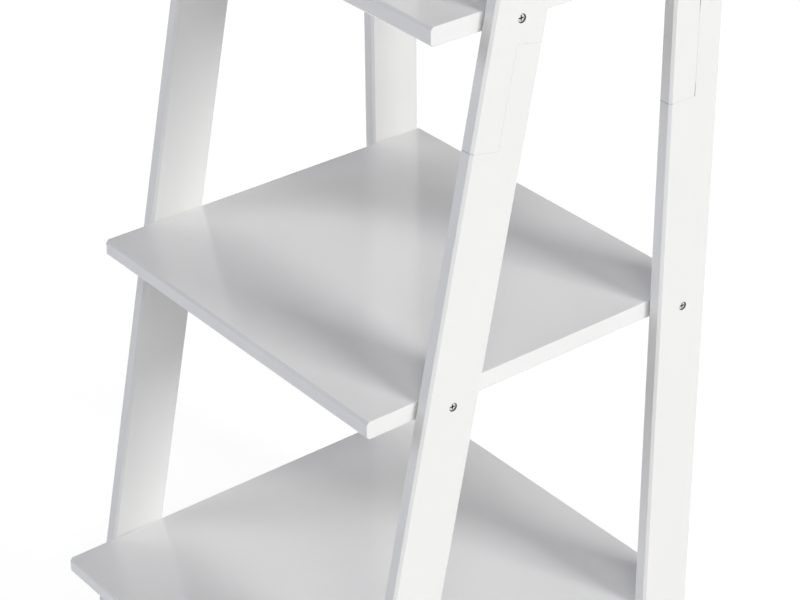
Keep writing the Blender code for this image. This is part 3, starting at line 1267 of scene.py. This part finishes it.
def make_surround(stage):
    """A grey studio with a darker ceiling, which shows white round the floor."""
    world = bpy.data.worlds.new("studio")
    world.use_nodes = True
    tree = world.node_tree
    direction = add_node(tree, "ShaderNodeTexCoord").outputs["Generated"]
    rise = add_node(tree, "ShaderNodeSeparateXYZ", {"Vector": direction}).outputs["Z"]
    ceiling, walls = (*stage.ceiling_colour, 1.0), (*stage.wall_colour, 1.0)
    room = mix_colours(tree, fade(tree, rise, WALL_FADE), ceiling, walls)
    white = calculate(tree, "MULTIPLY", fade(tree, rise, COVE_FADE), rays_that_show(tree))
    tree.links.new(mix_colours(tree, white, room, WHITE), tree.nodes["Background"].inputs["Color"])
    bpy.context.scene.world = world


def make_lamp(name, lamp, power):
    """A soft lamp turned towards the bookcase."""
    rise = math.radians(lamp.rise)
    turn = Matrix.Rotation(math.radians(lamp.turn), 3, "Z")
    towards = turn @ Vector((math.cos(rise), 0.0, math.sin(rise)))
    data = bpy.data.lights.new(name, "AREA")
    data.shape = "RECTANGLE"
    data.size, data.size_y = lamp.size
    data.energy = power
    data.color = lamp.colour
    made = bpy.data.objects.new(name, data)
    bpy.context.scene.collection.objects.link(made)
    made.location = AIM + LAMP_DISTANCE * towards
    made.rotation_euler = towards.to_track_quat("Z", "Y").to_euler()


def make_camera(stage):
    """A long lens, turned and dropped as the photograph's view is."""
    data = bpy.data.cameras.new("camera")
    data.lens = stage.lens
    data.shift_x = CAMERA_SHIFT
    camera = bpy.data.objects.new("camera", data)
    bpy.context.scene.collection.objects.link(camera)
    camera.location = CAMERA_PLACE
    camera.rotation_euler = (math.pi / 2 - CAMERA_DROP, 0.0, CAMERA_TURN)
    bpy.context.scene.camera = camera


# Operators, panel and registration


class BOOKCASE_OT_shelves(bpy.types.Operator):
    """Make the painted shelf boards"""

    bl_idname = "bookcase.shelves"
    bl_label = "Shelves"

    def execute(self, context):
        scene = context.scene
        finish = scene.bookcase_finish
        paint = paint_material(
            "white_shelf_paint", finish.shelf_colour, finish.shelf_roughness, finish, SHELF_BRUSH_HEIGHT
        )
        for node in SHELVES:
            shelf = make_shelf(node, scene.bookcase_boards, scene.bookcase_fixings.thread_radius)
            dress(shelf, node, paint)
        return {"FINISHED"}


class BOOKCASE_OT_posts(bpy.types.Operator):
    """Make both halves of the painted front and rear posts"""

    bl_idname = "bookcase.posts"
    bl_label = "Posts"

    def execute(self, context):
        scene = context.scene
        finish = scene.bookcase_finish
        paint = paint_material(
            "white_post_paint", finish.post_colour, finish.post_roughness, finish, POST_BRUSH_HEIGHT
        )
        for side in SIDES:
            for row in LEANS:
                halves = make_post_halves(
                    Post(side, row), scene.bookcase_boards, scene.bookcase_fixings.thread_radius
                )
                for node, half in halves.items():
                    dress(half, node, paint)
        return {"FINISHED"}


class BOOKCASE_OT_screws(bpy.types.Operator):
    """Make the zinc plated shelf screws and lap screws"""

    bl_idname = "bookcase.screws"
    bl_label = "Screws"

    def execute(self, context):
        zinc = zinc_material(context.scene.bookcase_finish)
        for kind, nodes in (("shelf_screw", SHELF_SCREWS), ("lap_screw", LAP_SCREWS)):
            mesh = screw_mesh(kind, Fixing(nodes[0]), context.scene.bookcase_fixings)
            for node in nodes:
                dress(add_object("zinc_" + node, mesh, Fixing(node).placement), node, zinc)
        return {"FINISHED"}


class BOOKCASE_OT_dowels(bpy.types.Operator):
    """Make the fluted beech dowels of the laps"""

    bl_idname = "bookcase.dowels"
    bl_label = "Dowels"

    def execute(self, context):
        beech = beech_material(context.scene.bookcase_finish)
        mesh = dowel_mesh("lap_dowel", Fixing(LAP_DOWELS[0]), context.scene.bookcase_fixings)
        for node in LAP_DOWELS:
            dress(add_object("beech_" + node, mesh, Fixing(node).placement), node, beech)
        return {"FINISHED"}


class BOOKCASE_OT_stage(bpy.types.Operator):
    """Make the floor, the surround, the lamps and the camera"""

    bl_idname = "bookcase.stage"
    bl_label = "Stage"

    def execute(self, context):
        stage = context.scene.bookcase_stage
        make_floor(stage)
        make_surround(stage)
        for name, lamp in LAMPS.items():
            make_lamp(name, lamp, getattr(stage, name + "_power"))
        make_camera(stage)
        context.scene.view_settings.view_transform = "Standard"
        return {"FINISHED"}


class BOOKCASE_PT_panel(bpy.types.Panel):
    """Settings and steps of the bookcase"""

    bl_idname = "BOOKCASE_PT_panel"
    bl_label = "Ladder bookcase"
    bl_space_type = "VIEW_3D"
    bl_region_type = "UI"
    bl_category = "Bookcase"

    def draw(self, context):
        for owner in SETTINGS:
            group = getattr(context.scene, owner)
            box = self.layout.box()
            for setting in group.bl_rna.properties.keys():
                if setting not in ("rna_type", "name"):
                    box.prop(group, setting)
        for step in STEPS:
            self.layout.operator(step.bl_idname)


SETTINGS = {
    "bookcase_boards": BoardSettings,
    "bookcase_fixings": FixingSettings,
    "bookcase_finish": FinishSettings,
    "bookcase_stage": StageSettings,
}
STEPS = (
    BOOKCASE_OT_shelves,
    BOOKCASE_OT_posts,
    BOOKCASE_OT_screws,
    BOOKCASE_OT_dowels,
    BOOKCASE_OT_stage,
)


def register():
    for owner, group in SETTINGS.items():
        bpy.utils.register_class(group)
        setattr(bpy.types.Scene, owner, PointerProperty(type=group))
    for made in (*STEPS, BOOKCASE_PT_panel):
        bpy.utils.register_class(made)


def unregister():
    for made in (BOOKCASE_PT_panel, *reversed(STEPS)):
        bpy.utils.unregister_class(made)
    for owner, group in reversed(SETTINGS.items()):
        delattr(bpy.types.Scene, owner)
        bpy.utils.unregister_class(group)


def main():
    register()
    bpy.ops.bookcase.shelves()
    bpy.ops.bookcase.posts()
    bpy.ops.bookcase.screws()
    bpy.ops.bookcase.dowels()
    bpy.ops.bookcase.stage()


if __name__ == "__main__":
    main()
